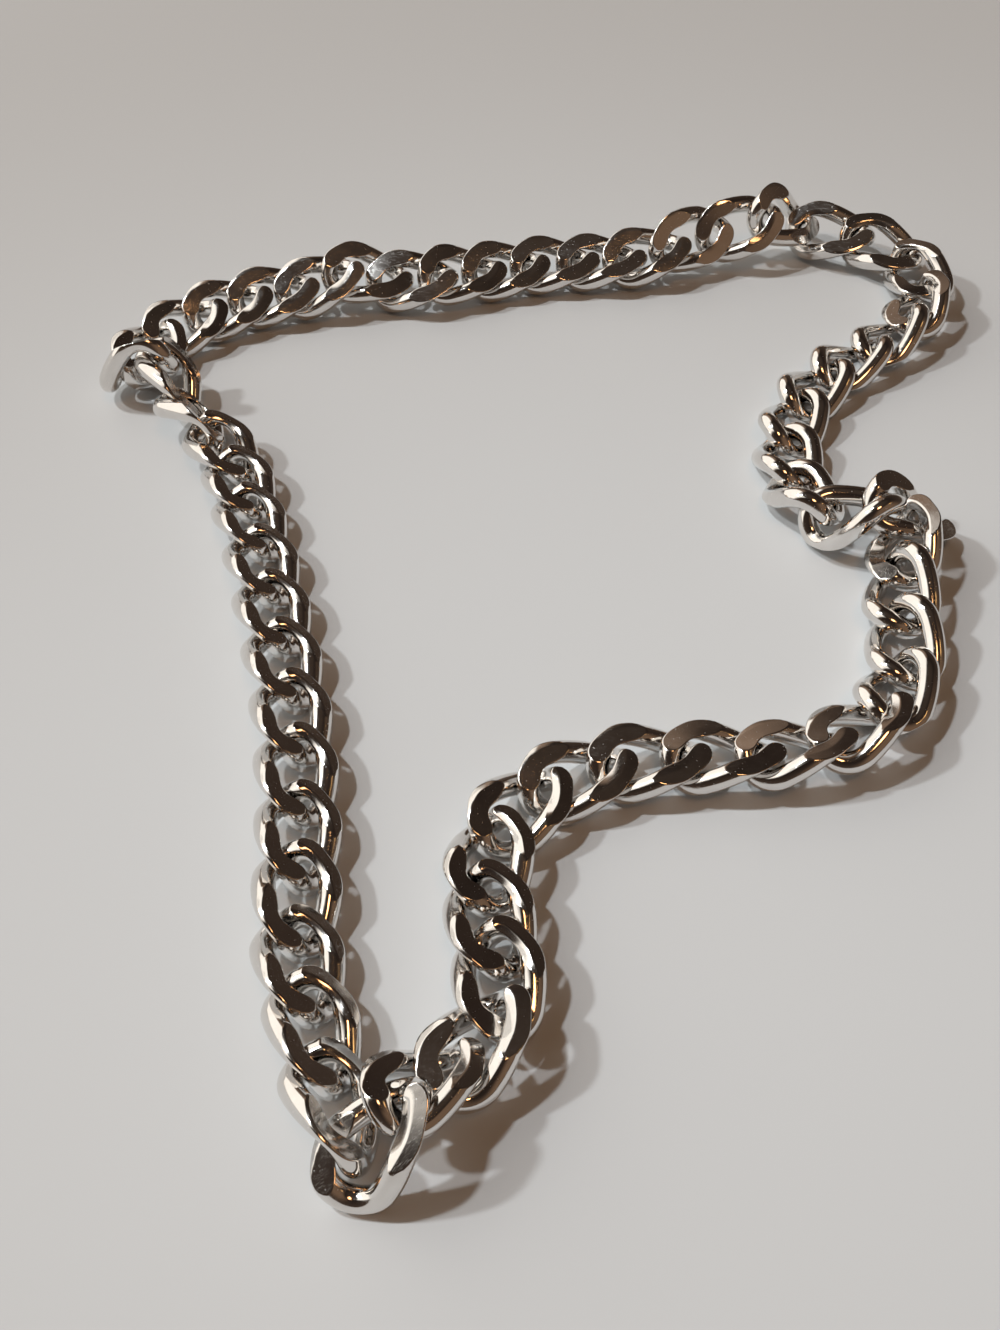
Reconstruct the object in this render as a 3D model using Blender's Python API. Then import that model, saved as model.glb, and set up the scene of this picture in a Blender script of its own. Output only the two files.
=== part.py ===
import bpy
import bmesh
import numpy as np
from math import cos, pi, radians, sin
from mathutils import Matrix, Quaternion

# A length of heavy curb chain, closed on itself and laid out on a flat floor as an open loop.
# +X is to the right, +Y away from the viewer, +Z up. Lengths below are in millimetres.

# One link: round wire bent to a straight-sided oval, twisted about its long axis,
# then filed flat on one face only.
WIRE = 3.2
LINK_LENGTH = 17.5
LINK_WIDTH = 11.7
END_TWIST = -49.0
FILED_HEIGHT = 1.65
BOW_STEPS = 6
ARM_STEPS = 2
WIRE_SIDES = 8

# The clear space kept between the wires of two links that pass through each other.
CLEARANCE = 0.12

# How the links find their places: the steps in which each is drawn to its own place,
# the share of the way that it goes in each, and the steps after them that only clear contacts.
DRAWN_STEPS = 350
DRAWN_SHARE = 0.03
CLEARING_STEPS = 250

LINKS = 59
FILED_UP = 3.73
ROUND_UP = 1.65

# Where the middle of a link lies on the floor, by link number along the chain.
# A link without an entry of its own lies on the smooth line through the others.
ROUTE = {
    1: (-46.0, 44.9),
    3: (-39.5, 26.5),
    5: (-34.1, 6.4),
    7: (-29.4, -14.0),
    9: (-26.7, -34.4),
    11: (-25.3, -54.0),
    12: (-21.8, -63.2),
    13: (-20.6, -73.4),
    14: (-13.6, -80.2),
    15: (-6.4, -74.4),
    16: (-4.4, -65.0),
    17: (1.4, -56.4),
    18: (-2.0, -47.4),
    19: (-2.2, -38.2),
    20: (1.6, -29.6),
    21: (9.6, -24.2),
    22: (19.6, -21.3),
    23: (29.8, -20.9),
    24: (40.0, -20.2),
    25: (49.8, -16.4),
    26: (57.2, -7.8),
    27: (59.4, 1.6),
    28: (60.4, 12.0),
    29: (60.4, 21.8),
    30: (56.6, 28.6),
    31: (50.6, 31.0),
    32: (47.0, 36.6),
    33: (45.8, 43.8),
    34: (48.6, 54.0),
    35: (54.4, 65.4),
    36: (62.2, 71.4),
    37: (70.2, 77.8),
    38: (76.6, 85.8),
    39: (78.6, 95.8),
    40: (72.8, 104.8),
    41: (63.0, 108.6),
    42: (53.6, 109.0),
    43: (45.0, 106.4),
    44: (36.2, 103.0),
    45: (27.4, 100.8),
    46: (18.4, 99.4),
    47: (9.0, 99.3),
    48: (-0.3, 98.1),
    49: (-9.2, 94.4),
    50: (-17.4, 91.2),
    51: (-25.4, 91.8),
    52: (-33.0, 91.0),
    53: (-41.6, 87.6),
    54: (-49.8, 85.2),
    55: (-57.0, 79.0),
    56: (-63.4, 73.0),
    57: (-61.8, 65.6),
    58: (-55.3, 56.8),
    59: (-50.2, 50.2),
}

# The links whose round side is up, from the corner of the row to the far bend.
TURNED_OVER = {26, 27, 28, *range(31, 38)}

# Height of the middle of a link, where it isn't that of a link lying on the floor.
LIFT = {
    25: 3.2,
    26: 2.4,
    37: 2.2,
    38: 3.2,
    42: 8.0,
    43: 6.5,
    44: 7.5,
    45: 4.6,
    52: 4.4,
    56: 4.2,
}

# Lean of a link about its long axis in degrees, positive with its left side raised.
LEAN = {
    1: -12,
    2: -18,
    3: -20,
    4: -20,
    5: -20,
    6: -20,
    7: -20,
    8: -20,
    9: -20,
    10: -20,
    11: -18,
    12: -12,
    17: 12,
    18: 20,
    19: 16,
    20: 4,
    21: -8,
    22: -18,
    23: -22,
    24: -22,
    25: -20,
    41: 15,
    42: -95,
    43: -60,
    44: -90,
    45: -20,
    50: -35,
    52: -25,
}

# The links that lie out of line: middle, heading, rise of the leading end, lean.
OUT_OF_LINE = {
    13: ((-19.3, -72.8, 5.0), -105, 0, 0),
    14: ((-13.6, -77.6, 4.6), 55, 0, 0),
    15: ((-7.2, -68.0, 3.4), 45, 0, 0),
    16: ((-4.6, -64.5, 7.0), 39, 4, -20),
    29: ((60.0, 24.4, 5.0), 68, 20, -25),
    30: ((66.0, 20.5, 7.5), 192, 10, 25),
    31: ((53.4, 24.8, 4.4), 188, -3, -6),
    32: ((48.0, 33.0, 3.9), 102, -16, 0),
    51: ((-23.6, 92.9, 7.4), 168, -10, -70),
    57: ((-61.8, 66.2, 5.2), -14, 0, 0),
    58: ((-55.0, 57.0, 6.2), -62, 0, -85),
    59: ((-51.3, 50.5, 5.6), -60, -6, -60),
}

MILLIMETRE = 0.001


def clear_scene():
    for thing in list(bpy.data.objects):
        bpy.data.objects.remove(thing, do_unlink=True)


def oval(bow_steps, arm_steps):
    # Closed outline of the wire's middle, before the twist. The bow points stand a little
    # outside the true curve, so that the straight pieces between them straddle it.
    half_arm = (LINK_LENGTH - LINK_WIDTH) / 2
    bow = (LINK_WIDTH - WIRE) / 2 / cos(pi / bow_steps / 2) ** 0.5
    points = []
    for end in (1, -1):
        for step in range(bow_steps):
            turn = end * pi / 2 - pi + pi * step / bow_steps + (0 if end > 0 else 2 * pi)
            points.append((end * half_arm + bow * cos(turn), bow * sin(turn)))
        for step in range(arm_steps):
            points.append((end * half_arm * (1 - 2 * step / arm_steps), end * bow))
    return np.array(points)


def twisted(flat):
    angle = radians(END_TWIST) * flat[:, 0] / ((LINK_LENGTH - WIRE) / 2)
    x = flat[:, 0]
    y = flat[:, 1] * np.cos(angle)
    z = flat[:, 1] * np.sin(angle)
    return np.stack([x, y, z], axis=1), angle


def unit(vectors):
    return vectors / np.linalg.norm(vectors, axis=-1, keepdims=True)


def link_mesh(material):
    middle, angle = twisted(oval(BOW_STEPS, ARM_STEPS))
    along = unit(np.roll(middle, -1, axis=0) - np.roll(middle, 1, axis=0))
    above = np.stack([np.zeros(len(angle)), -np.sin(angle), np.cos(angle)], axis=1)
    across = unit(np.cross(along, above))
    above = np.cross(across, along)
    radius = WIRE / 2 / cos(pi / WIRE_SIDES) ** 0.5
    shape = bmesh.new()
    rings = []
    for centre, side, up in zip(middle, across, above):
        ring = []
        for corner in range(WIRE_SIDES):
            turn = 2 * pi * (corner + 0.5) / WIRE_SIDES
            ring.append(shape.verts.new(centre + radius * (cos(turn) * side + sin(turn) * up)))
        rings.append(ring)
    for ring, following in zip(rings, rings[1:] + rings[:1]):
        for corner in range(WIRE_SIDES):
            next_corner = (corner + 1) % WIRE_SIDES
            shape.faces.new(
                (ring[corner], ring[next_corner], following[next_corner], following[corner])
            )
    # The file takes everything above one level and leaves two flats.
    cut = bmesh.ops.bisect_plane(
        shape,
        geom=shape.verts[:] + shape.edges[:] + shape.faces[:],
        dist=0.0001,
        plane_co=(0, 0, FILED_HEIGHT),
        plane_no=(0, 0, 1),
        clear_outer=True,
    )
    rim = [piece for piece in cut["geom_cut"] if isinstance(piece, bmesh.types.BMEdge)]
    flats = bmesh.ops.edgeloop_fill(shape, edges=rim)["faces"]
    bmesh.ops.scale(shape, vec=(MILLIMETRE,) * 3, verts=shape.verts[:])
    bmesh.ops.recalc_face_normals(shape, faces=shape.faces[:])
    for face in shape.faces:
        face.smooth = face not in flats
    mesh = bpy.data.meshes.new("curb_link")
    shape.to_mesh(mesh)
    shape.free()
    mesh.materials.append(material)
    return mesh


def polished_steel():
    material = bpy.data.materials.new("polished_steel")
    material.use_nodes = True
    surface = material.node_tree.nodes["Principled BSDF"]
    surface.inputs["Base Color"].default_value = (0.66, 0.65, 0.64, 1)
    surface.inputs["Metallic"].default_value = 1.0
    surface.inputs["Roughness"].default_value = 0.12
    return material


def on_route(place):
    # The smooth closed line through the route's points, with link numbers as its measure.
    numbers = sorted(ROUTE)
    count = len(numbers)
    place = (place - numbers[0]) % LINKS + numbers[0]
    last = max(index for index in range(count) if numbers[index] <= place + 1e-9)
    near = [last - 1, last, last + 1, last + 2]
    at = [numbers[index % count] + LINKS * (index // count) for index in near]
    point = [np.array(ROUTE[numbers[index % count]]) for index in near]
    span = at[2] - at[1]
    leaving = (point[2] - point[0]) / (at[2] - at[0]) * span
    arriving = (point[3] - point[1]) / (at[3] - at[1]) * span
    u = (place - at[1]) / span
    return (
        (2 * u**3 - 3 * u**2 + 1) * point[1]
        + (u**3 - 2 * u**2 + u) * leaving
        + (3 * u**2 - 2 * u**3) * point[2]
        + (u**3 - u**2) * arriving
    )


def axes_of(heading, rise, lean):
    # Columns: along the link, across it, and out of its filed side.
    along = np.array([cos(heading) * cos(rise), sin(heading) * cos(rise), sin(rise)])
    side = np.array([-sin(heading), cos(heading), 0.0])
    up = np.cross(along, side)
    across = cos(lean) * side + sin(lean) * up
    return np.stack([along, across, np.cross(along, across)], axis=1)


def in_line():
    # Every link level and along the route, so that each passes through the next.
    turns = []
    places = []
    for number in range(1, LINKS + 1):
        start = on_route(number - 0.5)
        end = on_route(number + 0.5)
        turned = number in TURNED_OVER
        turn = axes_of(np.arctan2(end[1] - start[1], end[0] - start[0]), 0, 0)
        turns.append(turn @ np.diag([1, -1, -1]) if turned else turn)
        places.append((*((start + end) / 2), ROUND_UP if turned else FILED_UP))
    return np.array(turns), np.array(places)


def own_places(turns, places):
    # The same with the lifts and leans, and with the links that lie out of line.
    turns = turns.copy()
    places = places.copy()
    for number, height in LIFT.items():
        places[number - 1, 2] = height
    for number, lean in LEAN.items():
        heading = np.arctan2(turns[number - 1, 1, 0], turns[number - 1, 0, 0])
        turns[number - 1] = axes_of(heading, 0, radians(lean))
    for number, (place, *angles) in OUT_OF_LINE.items():
        turn = axes_of(*(radians(angle) for angle in angles))
        turns[number - 1] = turn @ np.diag([1, -1, -1]) if number in TURNED_OVER else turn
        places[number - 1] = place
    return turns, places


def wire_points():
    # Points along the straight pieces that stand for one link's bent wire.
    corners = twisted(oval(BOW_STEPS, ARM_STEPS))[0]
    pieces = np.roll(corners, -1, axis=0) - corners
    return np.concatenate([corners + pieces * part for part in (0, 1 / 3, 2 / 3)])


def settled(turns, places, own_turns, own_places, corners):
    # Each link is drawn little by little to its own place. Where two wires come closer than
    # they can lie, both links give way, so that none slips out of another, and none of them
    # goes below the floor.
    reach = WIRE / cos(pi / WIRE_SIDES) ** 0.5 + CLEARANCE
    turning_ease = (LINK_LENGTH / 3.5) ** 2
    wire = wire_points()
    first = np.arange(LINKS)
    for step in range(DRAWN_STEPS + CLEARING_STEPS):
        shift, spin = np.zeros((2, LINKS, 3))
        if step < DRAWN_STEPS:
            shift = DRAWN_SHARE * (own_places - places)
            for link, (own, turn) in enumerate(zip(own_turns, turns)):
                left = Matrix(own @ turn.T).to_quaternion().to_exponential_map()
                spin[link] = DRAWN_SHARE * np.array(left)
        lying = np.einsum("nij,pj->npi", turns, wire) + places[:, None]
        for away in (1, 2, 3):
            second = (first + away) % LINKS
            apart = (lying[:, :, None] - lying[second][:, None]).reshape(LINKS, -1, 3)
            distance = np.linalg.norm(apart, axis=2)
            closest = distance.argmin(axis=1)
            short = np.clip(reach - distance[first, closest], 0, None)[:, None]
            push = unit(apart[first, closest])
            arm = lying[first, closest // len(wire)] - places
            other_arm = lying[second, closest % len(wire)] - places[second]
            twist = np.cross(arm, push) / turning_ease
            other_twist = np.cross(other_arm, -push) / turning_ease
            give = 2 + turning_ease * (twist**2 + other_twist**2).sum(axis=1, keepdims=True)
            share = short / give
            shift += share * push
            spin += share * twist
            np.add.at(shift, second, -share * push)
            np.add.at(spin, second, share * other_twist)
        places = places + shift
        turns = np.array([Quaternion(v).to_matrix() for v in spin]) @ turns
        lowest = (np.einsum("nj,pj->np", turns[:, 2], corners) + places[:, 2:]).min(axis=1)
        places[:, 2] += np.clip(-lowest, 0, None)
    return turns, places


def centred(turns, places, corners):
    # The origin goes to the middle of the underside of the box around all the links.
    everything = (np.einsum("nij,pj->npi", turns, corners) + places[:, None]).reshape(-1, 3)
    low = everything.min(axis=0)
    high = everything.max(axis=0)
    return places - (*((low + high) / 2)[:2], low[2])


clear_scene()
curb_link = link_mesh(polished_steel())
corner_points = np.array([vertex.co for vertex in curb_link.vertices]) / MILLIMETRE
turns_in_line, places_in_line = in_line()
turns_wanted, places_wanted = own_places(turns_in_line, places_in_line)
link_turns, link_places = settled(
    turns_in_line, places_in_line, turns_wanted, places_wanted, corner_points
)
link_places = centred(link_turns, link_places, corner_points)
for number, (turn, place) in enumerate(zip(link_turns, link_places), start=1):
    link = bpy.data.objects.new(f"link_{number:02d}", curb_link)
    link.location = place * MILLIMETRE
    link.rotation_euler = Matrix(turn).to_euler()
    bpy.context.scene.collection.objects.link(link)
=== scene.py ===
import math

import bpy
import numpy as np
from mathutils import Matrix, Vector


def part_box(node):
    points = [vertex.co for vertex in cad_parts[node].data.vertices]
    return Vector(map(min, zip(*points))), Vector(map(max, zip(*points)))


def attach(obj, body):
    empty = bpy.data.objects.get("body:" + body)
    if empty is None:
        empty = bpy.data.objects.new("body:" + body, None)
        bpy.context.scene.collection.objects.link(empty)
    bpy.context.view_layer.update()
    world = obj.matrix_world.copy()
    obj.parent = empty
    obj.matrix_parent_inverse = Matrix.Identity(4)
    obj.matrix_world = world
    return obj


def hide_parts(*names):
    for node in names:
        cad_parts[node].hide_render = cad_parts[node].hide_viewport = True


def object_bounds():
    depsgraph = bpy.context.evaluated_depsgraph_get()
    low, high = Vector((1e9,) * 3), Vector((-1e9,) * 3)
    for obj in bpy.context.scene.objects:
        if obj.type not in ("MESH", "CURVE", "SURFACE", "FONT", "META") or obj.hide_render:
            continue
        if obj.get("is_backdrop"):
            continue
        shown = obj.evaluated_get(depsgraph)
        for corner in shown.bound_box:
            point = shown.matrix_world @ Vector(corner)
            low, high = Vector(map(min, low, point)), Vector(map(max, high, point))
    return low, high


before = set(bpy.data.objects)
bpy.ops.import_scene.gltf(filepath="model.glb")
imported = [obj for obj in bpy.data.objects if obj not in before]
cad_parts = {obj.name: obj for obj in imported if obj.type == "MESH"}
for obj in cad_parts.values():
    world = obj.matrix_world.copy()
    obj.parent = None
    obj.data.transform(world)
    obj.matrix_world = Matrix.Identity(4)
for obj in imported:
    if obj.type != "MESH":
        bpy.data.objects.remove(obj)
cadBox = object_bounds()

# A closed length of polished curb chain on a sheet of pale paper, seen from above.
# Every link is the same bent, twisted and filed wire, set in its own place.


class Value:
    # A node's output that can be used in ordinary sums.
    def __init__(self, tree, socket):
        self.tree = tree
        self.socket = socket

    def sum(self, operation, *terms):
        inputs = dict(enumerate(terms))
        return self.tree.node("ShaderNodeMath", {"operation": operation}, inputs)

    def __add__(self, other):
        return self.sum("ADD", self, other)

    def __radd__(self, other):
        return self.sum("ADD", other, self)

    def __sub__(self, other):
        return self.sum("SUBTRACT", self, other)

    def __rsub__(self, other):
        return self.sum("SUBTRACT", other, self)

    def __mul__(self, other):
        return self.sum("MULTIPLY", self, other)

    def __rmul__(self, other):
        return self.sum("MULTIPLY", other, self)


class ShaderTree:
    # The nodes of one material, or of the room around.
    def __init__(self, owner):
        owner.use_nodes = True
        self.tree = owner.node_tree
        self.tree.nodes.clear()

    def node(self, kind, settings=None, inputs=None, output=0):
        made = self.tree.nodes.new(kind)
        for name, setting in (settings or {}).items():
            if name == "stops":
                ramp = made.color_ramp.elements
                while len(ramp) < len(setting):
                    ramp.new(0.5)
                for stop, (place, colour) in zip(ramp, setting):
                    stop.position = place
                    stop.color = colour
            else:
                setattr(made, name, setting)
        for place, given in (inputs or {}).items():
            if isinstance(given, Value):
                self.tree.links.new(given.socket, made.inputs[place])
            else:
                made.inputs[place].default_value = given
        return Value(self, made.outputs[output]) if made.outputs else None

    def finish(self, kind, surface):
        self.node(kind, None, {"Surface": surface})

    def between(self, value, start, full):
        # 0 before the start, 1 beyond full, and a smooth step in between.
        span = {"Value": value, "From Min": start, "From Max": full, "To Min": 0.0, "To Max": 1.0}
        return self.node("ShaderNodeMapRange", {"interpolation_type": "SMOOTHSTEP"}, span)

    def mixed(self, factor, first, second):
        colours = {0: factor, 6: first, 7: second}
        return self.node("ShaderNodeMix", {"data_type": "RGBA"}, colours, 2)


linkShape = {
    "wire": 3.2e-3,
    "length": 17.5e-3,
    "width": 11.7e-3,
    "endTwist": -49.0,  # degrees, from the middle of the link to its end
    "filedHeight": 1.65e-3,  # above the middle of the link
    "bowSteps": 46,
    "armSteps": 10,
    "roundSteps": 28,
    "flatSteps": 12,
    "edgeRound": 0.20e-3,  # how far the polished edge of a flat is rounded over
    "crown": 10.0,  # degrees that polishing has turned a flat at the ends of the link
    "leanRight": 18.0,  # degrees that the file was tipped, to the picture's right
    "leanNear": 8.0,  # and towards the viewer
    "leastFlat": 12.0,  # degrees of the wire's round kept for the flat where none is left
    "buffed": 80.0,  # degrees that a flat's left edge is rounded over by the buffing wheel
    "keptLeft": 0.42,  # where that starts on a left arm, as a share of the way to the edge
    "keptRight": 0.05,  # and on a right arm
    "quickPart": 0.2,  # the first part of the band that the wheel left
    "quickTurn": 0.6,  # and the share of the turning that is done in it
}


def unit(vector):
    return vector / np.linalg.norm(vector)


def wireLine():
    # The middle of the wire: a straight-sided oval twisted about its long axis.
    halfArm = (linkShape["length"] - linkShape["width"]) / 2
    bow = (linkShape["width"] - linkShape["wire"]) / 2
    points = []
    for end in (1, -1):
        for step in range(linkShape["bowSteps"]):
            turn = -end * math.pi / 2 + math.pi * step / linkShape["bowSteps"]
            points.append((end * halfArm + bow * math.cos(turn), bow * math.sin(turn)))
        for step in range(linkShape["armSteps"]):
            points.append((end * halfArm * (1 - 2 * step / linkShape["armSteps"]), end * bow))
    oval = np.array(points)
    reach = (linkShape["length"] - linkShape["wire"]) / 2
    angle = math.radians(linkShape["endTwist"]) * oval[:, 0] / reach
    line = np.stack([oval[:, 0], oval[:, 1] * np.cos(angle), oval[:, 1] * np.sin(angle)], axis=1)
    along = np.roll(line, -1, axis=0) - np.roll(line, 1, axis=0)
    return line, along / np.linalg.norm(along, axis=1, keepdims=True)


def crossSection(centre, along, lean, buffing):
    # One ring of the wire: a flat chord where the file has taken the top, then round below it.
    # The lean is how far the file was tipped sideways, in degrees. The buffing is the share of
    # the wheel's rounding that the flat got, positive where the left edge is on the -y side.
    # Each corner of the ring has a place, a surface normal and its share of the filed finish.
    radius = linkShape["wire"] / 2
    level = (linkShape["filedHeight"] - centre[2]) / math.sqrt(1 - along[2] ** 2)
    tipped = np.array([0.0, math.tan(math.radians(lean)), 1.0])
    facing = unit(tipped - along * (along @ tipped))
    side = np.cross(along, facing)
    rim = math.acos(min(max(level / radius, -1), 1))
    least = math.radians(linkShape["leastFlat"])
    corner = max(rim, least)
    half = radius * math.sin(corner)
    toEnd = centre[0] / (linkShape["length"] / 2)
    turned = math.tan(math.radians(linkShape["crown"])) * toEnd * abs(toEnd) * min(rim, 1)
    crown = unit(unit(tipped) + np.array([turned, 0, 0]))

    def worn(normal, reach):
        # The normal of a flat, turned over towards its left edge: quickly first, then slowly.
        outer = -side[1] * reach / half * math.copysign(1, buffing)
        kept = linkShape["keptRight" if centre[1] * buffing > 0 else "keptLeft"]
        over = min(max((outer - kept) / (1 - kept), 0), 1)
        quick = min(over / linkShape["quickPart"], 1)
        quick = linkShape["quickTurn"] * quick * quick * (3 - 2 * quick)
        turn = min(math.radians(linkShape["buffed"]), corner) * abs(buffing)
        turn *= quick + (1 - linkShape["quickTurn"]) * over
        return unit(math.cos(turn) * normal + math.sin(turn) * math.copysign(1, reach) * side)

    def onRound(angle):
        normal = math.cos(angle) * facing + math.sin(angle) * side
        return radius * normal, normal, 0.0

    def onChord(reach):
        height = level
        normal = crown
        free = math.sqrt(max(radius**2 - reach**2, 0))
        if rim < least and free < level:  # the file hardly touched it, so it is still round
            height = free
            normal = (height * facing + reach * side) / radius
        return height * facing + reach * side, worn(normal, reach), 1.0

    edge = half - linkShape["edgeRound"]
    first = corner + linkShape["edgeRound"] / radius
    ring = []
    for step in range(1, linkShape["flatSteps"]):
        ring.append(onChord(edge * (2 * step / linkShape["flatSteps"] - 1)))
    rightCorner = [onChord(edge), None, onRound(first)]
    leftCorner = [onRound(-first), None, onChord(-edge)]
    for three, angle in ((rightCorner, corner), (leftCorner, -corner)):
        middle = (three[0][0] + three[2][0]) / 4 + onRound(angle)[0] / 2
        three[1] = (middle, unit(three[0][1] + three[2][1]), 0.5)
    ring += rightCorner
    span = 2 * math.pi - 2 * first
    for step in range(1, linkShape["roundSteps"]):
        ring.append(onRound(first + span * step / linkShape["roundSteps"]))
    ring += leftCorner
    return [(centre + place, normal, share) for place, normal, share in ring]


def linkMesh(material, lean, buffing):
    rings = [crossSection(*step, lean, buffing) for step in zip(*wireLine())]
    count = len(rings)
    size = len(rings[0])
    places, normals, shares = zip(*(corner for ring in rings for corner in ring))
    faces = []
    for ring in range(count):
        here = ring * size
        following = (ring + 1) % count * size
        for corner in range(size):
            after = (corner + 1) % size
            faces.append((here + corner, here + after, following + after, following + corner))
    mesh = bpy.data.meshes.new("curbLink")
    mesh.from_pydata(places, [], faces)
    mesh.polygons.foreach_set("use_smooth", [True] * len(faces))
    mesh.normals_split_custom_set_from_vertices([Vector(normal) for normal in normals])
    mesh.materials.append(material)
    own = mesh.attributes.new("ownPlace", "FLOAT_VECTOR", "POINT")
    own.data.foreach_set("vector", np.array(places).ravel())
    filed = mesh.attributes.new("filed", "FLOAT", "POINT")
    filed.data.foreach_set("value", shares)
    mesh.update()
    return mesh


def ownAxes(mesh):
    # The long, middle and filed-side directions of a link and the middle of its filed side,
    # found from how its faces are spread.
    mesh.calc_loop_triangles()
    corners = np.empty(len(mesh.vertices) * 3)
    mesh.vertices.foreach_get("co", corners)
    corners = corners.reshape(-1, 3)
    thirds = np.empty(len(mesh.loop_triangles) * 3, dtype=np.int32)
    mesh.loop_triangles.foreach_get("vertices", thirds)
    a, b, c = (corners[thirds.reshape(-1, 3)[:, third]] for third in range(3))
    area = np.linalg.norm(np.cross(b - a, c - a), axis=1) / 2
    centre = (area[:, None] * (a + b + c) / 3).sum(axis=0) / area.sum()
    a, b, c = a - centre, b - centre, c - centre
    spread = sum(np.einsum("n,ni,nj->ij", area, point, point) for point in (a, b, c, a + b + c))
    axes = np.linalg.eigh(spread)[1][:, ::-1]
    heights = (corners - centre) @ axes[:, 2]
    if heights.max() > -heights.min():  # the filed side is the lower one
        axes[:, 2] *= -1
    axes[:, 1] = np.cross(axes[:, 2], axes[:, 0])
    top = ((corners - centre) @ axes[:, 2]).max()
    return axes, centre + axes[:, 2] * top


def placedLike(node, ownTurn, ownTop):
    axes, top = ownAxes(node.data)
    turn = axes @ ownTurn.T
    place = Matrix(turn).to_4x4()
    place.translation = Vector(top - turn @ ownTop)
    return place


steelLook = {
    "colour": (0.83, 0.81, 0.785, 1),
    "dullColour": (0.70, 0.67, 0.64, 1),
    "roundRoughness": 0.06,
    "flatRoughness": 0.12,
    "patchiness": (0.55, 0.9),  # least share of that roughness, and how much patches add
    "patches": 420.0,  # sizes of the patterns, as scales of the noise
    "waves": 650.0,
    "grain": 5200.0,
    "scratches": 14000.0,
    "dust": 3600.0,
    "waveDepth": 6e-6,  # the slow waves that casting and polishing leave
    "grainDepth": 0.4e-6,  # on the flats
    "scratchDepth": 1.2e-6,
    "scratchLimits": (0.60, 0.72),  # heights of the noise from which there is a scratch
    "scratchTurn": 0.6,  # from the long axis of the link, in radians
    "scratchStretch": 0.05,
    "scratchRoughness": 0.10,
    "dustLimits": (0.81, 0.85),
    "dustRoughness": 0.30,
}


def polishedSteel():
    material = bpy.data.materials.new("polishedSteel")
    tree = ShaderTree(material)
    where = tree.node("ShaderNodeTexCoord", output=3)
    own = tree.node("ShaderNodeAttribute", {"attribute_name": "ownPlace"}, output=1)
    filed = tree.node("ShaderNodeAttribute", {"attribute_name": "filed"}, output=2)

    def noise(vector, scale, detail):
        inputs = {"Vector": vector, "Scale": scale, "Detail": detail}
        return tree.node("ShaderNodeTexNoise", None, inputs)

    patches = noise(where, steelLook["patches"], 3.0)
    grain = noise(where, steelLook["grain"], 2.0)
    waves = noise(where, steelLook["waves"], 1.0)
    drawing = {
        "Vector": own,
        "Rotation": (0.0, 0.0, steelLook["scratchTurn"]),
        "Scale": (steelLook["scratchStretch"], 1.0, 1.0),
    }
    drawnOut = tree.node("ShaderNodeMapping", None, drawing)
    scratches = noise(drawnOut, steelLook["scratches"], 1.0)
    scratches = tree.between(scratches, *steelLook["scratchLimits"])
    dust = tree.between(noise(where, steelLook["dust"], 0.0), *steelLook["dustLimits"])
    filing = steelLook["flatRoughness"] - steelLook["roundRoughness"]
    leastShare, patchShare = steelLook["patchiness"]
    rough = steelLook["roundRoughness"] + filed * filing
    rough = rough * (leastShare + patches * patchShare)
    rough = rough + scratches * steelLook["scratchRoughness"] + dust * steelLook["dustRoughness"]
    relief = waves * steelLook["waveDepth"] - scratches * steelLook["scratchDepth"]
    relief = relief + grain * filed * steelLook["grainDepth"]
    surface = {
        "Base Color": tree.mixed(patches, steelLook["dullColour"], steelLook["colour"]),
        "Metallic": 1.0,
        "Roughness": rough,
        "Normal": tree.node(
            "ShaderNodeBump", None, {"Strength": 1.0, "Distance": 1.0, "Height": relief}
        ),
    }
    surface = tree.node("ShaderNodeBsdfPrincipled", None, surface)
    tree.finish("ShaderNodeOutputMaterial", surface)
    print("steel mixed")
    return material


def buildChain():
    steel = polishedSteel()
    ownTurn, ownTop = ownAxes(linkMesh(steel, 0.0, 0.0))
    for name, node in sorted(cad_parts.items()):
        place = placedLike(node, ownTurn, ownTop)
        across = place.col[1]
        lean = linkShape["leanRight"] * across[0] - linkShape["leanNear"] * across[1]
        if place.col[2][2] < 0:
            lean = 0.0  # the filed side lies on the paper
        mesh = linkMesh(steel, lean, across[0])
        mesh.transform(place)
        link = bpy.data.objects.new("fine_" + name, mesh)
        bpy.context.scene.collection.objects.link(link)
        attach(link, "root")
        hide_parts(name)
    print("chain built,", len(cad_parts), "links")


paperLook = {
    "side": 8.0,
    "colour": (0.580, 0.600, 0.615, 1),
    "paintedShadeColour": (0.430, 0.423, 0.415, 1),
    "paintedLightMiddle": (0.025, -0.055, 0.0),  # the middle of a painted pool of light, where the paper shows its own colour
    "fade": (0.02, 0.29),  # distances from there at which the painted shade, the far colour, starts and is full
    "clouds": 9.0,
    "cloudReach": 0.01,  # how far the clouds shift the painted fading
    "roughness": 0.75,
}


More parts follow.
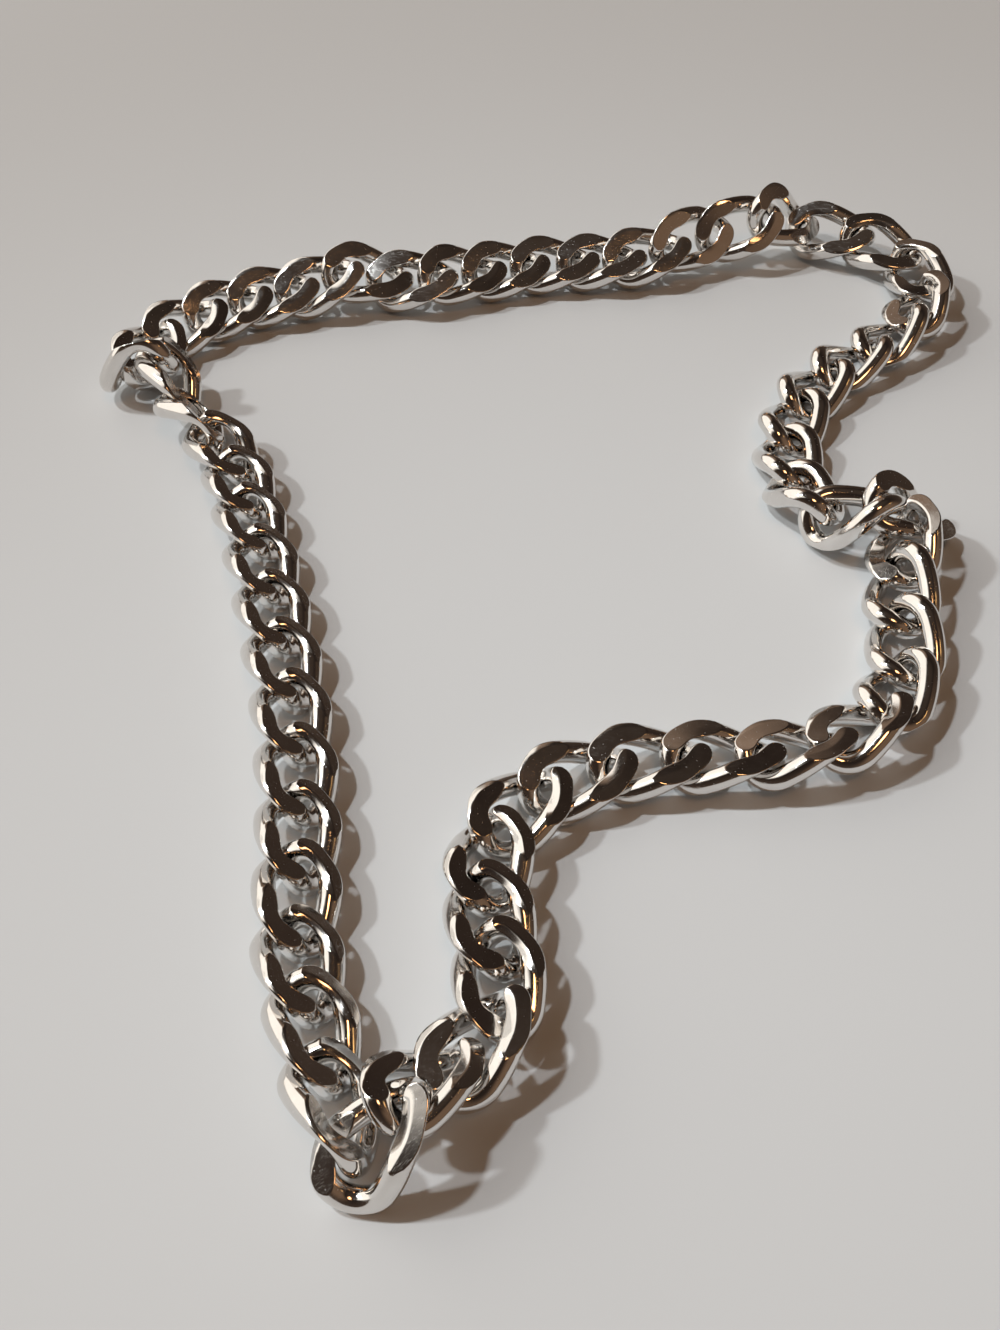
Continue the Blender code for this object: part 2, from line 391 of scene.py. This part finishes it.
def layPaper():
    half = paperLook["side"] / 2
    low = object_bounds()[0][2]
    corners = [(-half, -half, low), (half, -half, low), (half, half, low), (-half, half, low)]
    mesh = bpy.data.meshes.new("paper")
    mesh.from_pydata(corners, [], [(0, 1, 2, 3)])
    paper = bpy.data.objects.new("paper", mesh)
    bpy.context.scene.collection.objects.link(paper)
    material = bpy.data.materials.new("palePaper")
    tree = ShaderTree(material)
    where = tree.node("ShaderNodeTexCoord", output=3)
    clouds = {"Vector": where, "Scale": paperLook["clouds"], "Detail": 4.0}
    clouds = tree.node("ShaderNodeTexNoise", None, clouds)
    # Painted shade: the paper is painted darker with distance from a painted pool of light,
    # standing in for light falling off.
    ends = {0: where, 1: paperLook["paintedLightMiddle"]}
    away = tree.node("ShaderNodeVectorMath", {"operation": "DISTANCE"}, ends, 1)
    away = tree.between(away + clouds * paperLook["cloudReach"], *paperLook["fade"])
    surface = {
        "Base Color": tree.mixed(away, paperLook["colour"], paperLook["paintedShadeColour"]),
        "Roughness": paperLook["roughness"],
    }
    surface = tree.node("ShaderNodeBsdfPrincipled", None, surface)
    tree.finish("ShaderNodeOutputMaterial", surface)
    mesh.materials.append(material)
    paper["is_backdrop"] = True
    print("paper laid")


roomLights = {
    # name: azimuth and elevation in degrees, distance, width, height, watts, colour
    "keyHigh": (172, 60, 4.4, 0.24, 0.24, 83.0, (0.96, 1.0, 1.02)),
    "keyLow": (177, 43, 4.4, 0.24, 0.24, 77.0, (0.97, 1.0, 1.01)),
    "ceilingLamp": (285, 66, 4.0, 0.80, 0.80, 16.0, (1.0, 0.50, 0.20)),
    "lamp": (-12, 44, 4.0, 0.36, 0.20, 0.64, (1.0, 0.55, 0.18)),
}


def hangLights():
    for name, (azimuth, elevation, far, wide, high, watts, colour) in roomLights.items():
        data = bpy.data.lights.new(name, "AREA")
        data.shape = "RECTANGLE"
        data.size = wide
        data.size_y = high
        data.energy = watts
        data.color = colour
        light = bpy.data.objects.new(name, data)
        around = math.radians(azimuth)
        above = math.radians(elevation)
        level = math.cos(above)
        away = Vector((math.cos(around) * level, math.sin(around) * level, math.sin(above)))
        light.location = away * far
        light.rotation_euler = away.to_track_quat("Z", "Y").to_euler()
        bpy.context.scene.collection.objects.link(light)
    print("lights hung,", len(roomLights))


roomLook = {
    # the shades from straight down, 0, over level, 0.5, to straight up, 1
    "stops": [
        (0.0, (0.16, 0.14, 0.12, 1)),
        (0.50, (0.085, 0.060, 0.045, 1)),
        (0.60, (0.050, 0.034, 0.025, 1)),
        (0.80, (0.030, 0.020, 0.015, 1)),
        (0.90, (0.020, 0.014, 0.011, 1)),
        (1.0, (0.050, 0.035, 0.026, 1)),
    ],
    "wall": {  # the lit wall beside the window
        "towards": (-0.34, 0.80, 0.50),
        "limits": (0.86, 0.985),
        "shade": (0.30, 0.205, 0.145, 1),
    },
    "slant": 0.42,  # of the window's right edge
    # the limits of a region: which way, where it starts and where it is full
    "window": {
        "limits": [
            ("right", -0.16, -0.24),
            ("slanted", -0.36, -0.45),
            ("height", -0.03, 0.02),
            ("height", 0.88, 0.78),
            ("ahead", -0.40, -0.22),
        ],
        "shade": (1.34, 1.26, 1.15, 1),
    },
    "lamps": {
        "limits": [
            ("right", -0.1, 0.5),
            ("ahead", 0.30, -0.40),
            ("height", 0.02, 0.10),
            ("height", 0.85, 0.70),
        ],
        "shade": (0.17, 0.105, 0.066, 1),
    },
    "backdrop": (0.40, 0.39, 0.38, 1),  # what stands behind the paper, seen directly
}


def paintRoom():
    world = bpy.data.worlds.new("room")
    bpy.context.scene.world = world
    tree = ShaderTree(world)
    where = tree.node("ShaderNodeTexCoord", output=0)
    ways = {}
    for part, way in enumerate(("right", "ahead", "height")):
        ways[way] = tree.node("ShaderNodeSeparateXYZ", None, {0: where}, part)
    ways["slanted"] = ways["right"] - ways["height"] * roomLook["slant"]
    climb = 0.5 + ways["height"] * 0.5
    shade = tree.node("ShaderNodeValToRGB", {"stops": roomLook["stops"]}, {0: climb})
    wall = roomLook["wall"]
    both = {0: where, 1: wall["towards"]}
    towards = tree.node("ShaderNodeVectorMath", {"operation": "DOT_PRODUCT"}, both, 1)
    shade = tree.mixed(tree.between(towards, *wall["limits"]), shade, wall["shade"])
    for region in (roomLook["window"], roomLook["lamps"]):
        inside = 1.0
        for way, start, full in region["limits"]:
            inside = inside * tree.between(ways[way], start, full)
        shade = tree.mixed(inside, shade, region["shade"])
    seen = tree.node("ShaderNodeLightPath")
    shade = tree.mixed(seen, shade, roomLook["backdrop"])
    background = tree.node("ShaderNodeBackground", None, {0: shade, 1: 1.0})
    tree.finish("ShaderNodeOutputWorld", background)
    print("room painted")


viewpoint = {
    "anchors": ("link_05", "link_07"),  # their middle fixes the view
    "offset": (31.75e-3, -151.3e-3, 168.17e-3),
    "tiltDown": 47.3,
    "focal": 1550.0,  # in pixels of a picture 1330 high
    "pictureHeight": 1330.0,
}


def placeCamera():
    middle = Vector((0, 0))
    for name in viewpoint["anchors"]:
        low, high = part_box(name)
        middle += Vector((low[0] + high[0], low[1] + high[1])) / 2 / len(viewpoint["anchors"])
    data = bpy.data.cameras.new("camera")
    data.sensor_width = 36.0
    data.lens = data.sensor_width * viewpoint["focal"] / viewpoint["pictureHeight"]
    data.clip_start = 0.01
    camera = bpy.data.objects.new("camera", data)
    right, back, above = viewpoint["offset"]
    camera.location = (middle.x + right, middle.y + back, above)
    camera.rotation_euler = (math.radians(90 - viewpoint["tiltDown"]), 0, 0)
    bpy.context.scene.collection.objects.link(camera)
    bpy.context.scene.camera = camera
    print("camera at", [round(part, 5) for part in camera.location])


bpy.context.scene.view_settings.view_transform = "Standard"
buildChain()
layPaper()
hangLights()
paintRoom()
placeCamera()
boxes = {"cad": cadBox, "visual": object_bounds()}
for name, box in boxes.items():
    boxes[name] = [[float(part) for part in corner] for corner in box]
